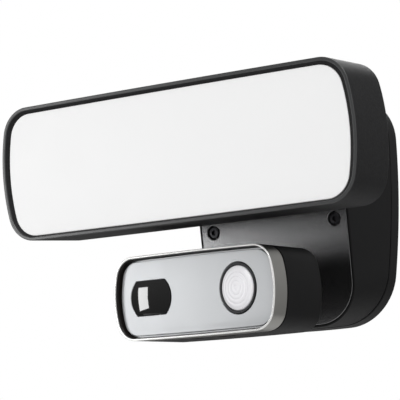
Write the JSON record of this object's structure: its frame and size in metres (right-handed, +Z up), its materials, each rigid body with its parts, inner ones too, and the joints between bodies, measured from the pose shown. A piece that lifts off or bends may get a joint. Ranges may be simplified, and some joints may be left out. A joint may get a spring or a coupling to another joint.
{
  "type": "floodlight security camera",
  "caption": "Wall floodlight with an opal LED lamp head above a camera module, both on pan and tilt knuckles in front of a wedge-shaped black wall housing.",
  "frame": {"origin": "centre of the wall plate's rear face, which lies on the wall", "axes": "+Y into the wall, +X along the lamp head to the right seen from the front, +Z up; the lamp and the camera face -Y"},
  "size_m": [0.25, 0.1768, 0.1723],
  "materials": {
    "black_shell": "satin fine-textured black powder coat on die-cast aluminium",
    "black_plate": "fine satin black moulding",
    "grey_cover": "satin dark grey, fine sandy grain",
    "cast_alloy": "black powder-coated casting",
    "bare_aluminium": "bare metal",
    "opal_diffuser": "opal white, smooth satin",
    "satin_silver": "satin silver with a bright polished front edge",
    "silver_face": "silver grey, fine satin",
    "black_glass": "glossy black window",
    "white_dome": "white translucent, ringed lens",
    "dark_ring": "dark grey ring",
    "screw_steel": "blackened steel",
    "circuit_board": "green solder mask",
    "seal_rubber": "matt black rubber",
    "white_plastic": "white moulding",
    "component_black": "black component plastic"
  },
  "bodies": {
    "wall_unit": {"wall_plate": "black_plate", "plate_seal": "seal_rubber", "cable_grommet": "seal_rubber", "wall_housing": "black_shell", "housing_screw_1": "screw_steel", "housing_screw_2": "screw_steel", "lower_cover": "grey_cover", "cover_seal": "seal_rubber", "cover_screw_1": "screw_steel", "cover_screw_2": "screw_steel", "cover_screw_3": "screw_steel", "cover_screw_4": "screw_steel", "driver_board": "circuit_board", "driver_transformer": "component_black", "driver_capacitor": "component_black", "terminal_block": "white_plastic", "lamp_fork": "cast_alloy", "camera_fork": "cast_alloy", "lamp_pan_bolt": "screw_steel", "camera_pan_bolt": "screw_steel"},
    "lamp_arm": {"lamp_arm": "cast_alloy"},
    "lamp_head": {"lamp_shell": "black_shell", "lamp_back_cover": "cast_alloy", "lamp_screw_1": "screw_steel", "lamp_screw_2": "screw_steel", "lamp_screw_3": "screw_steel", "lamp_screw_4": "screw_steel", "lamp_diffuser": "opal_diffuser", "diffuser_seal": "seal_rubber", "reflector_tray": "white_plastic", "led_board": "white_plastic", "heat_spreader": "bare_aluminium", "lamp_tilt_bolt": "screw_steel", "lamp_tilt_nut": "screw_steel"},
    "camera_arm": {"camera_arm": "cast_alloy"},
    "camera_head": {"camera_bezel": "satin_silver", "face_plate": "silver_face", "lens_window": "black_glass", "pir_ring": "dark_ring", "pir_dome": "white_dome", "camera_shell": "black_shell", "camera_seal": "seal_rubber", "camera_screw_1": "screw_steel", "camera_screw_2": "screw_steel", "camera_screw_3": "screw_steel", "camera_screw_4": "screw_steel", "reset_switch": "component_black", "card_cover": "seal_rubber", "card_socket": "bare_aluminium", "lens_barrel": "component_black", "sensor_board": "circuit_board", "pir_sensor": "bare_aluminium", "pir_board": "circuit_board", "main_board": "circuit_board", "speaker": "component_black", "microphone": "bare_aluminium", "wifi_antenna": "circuit_board", "camera_tilt_bolt": "screw_steel", "camera_tilt_nut": "screw_steel"},
    "reset_button": {"reset_button": "seal_rubber"}
  },
  "joints": [
    {"name": "lamp_pan", "type": "hinge", "parent": "wall_unit", "child": "lamp_arm", "pos_m": [0, -0.0838, 0.01518], "axis": [0, 0, 1], "range_deg": [-25, 25]},
    {"name": "lamp_tilt", "type": "hinge", "parent": "lamp_arm", "child": "lamp_head", "pos_m": [0, -0.113, 0.01518], "axis": [-1, 0, 0], "range_deg": [-8, 40]},
    {"name": "camera_pan", "type": "hinge", "parent": "wall_unit", "child": "camera_arm", "pos_m": [0, -0.06305, -0.065], "axis": [0, 0, 1], "range_deg": [-30, 30]},
    {"name": "camera_tilt", "type": "hinge", "parent": "camera_arm", "child": "camera_head", "pos_m": [0, -0.08105, -0.065], "axis": [1, 0, 0], "range_deg": [-5, 30]},
    {"name": "reset_press", "type": "slide", "parent": "camera_head", "child": "reset_button", "axis": [0, -0.1167, 0.9932], "range_m": [0, 0.001], "stiffness_N_per_m": 1500}
  ]
}
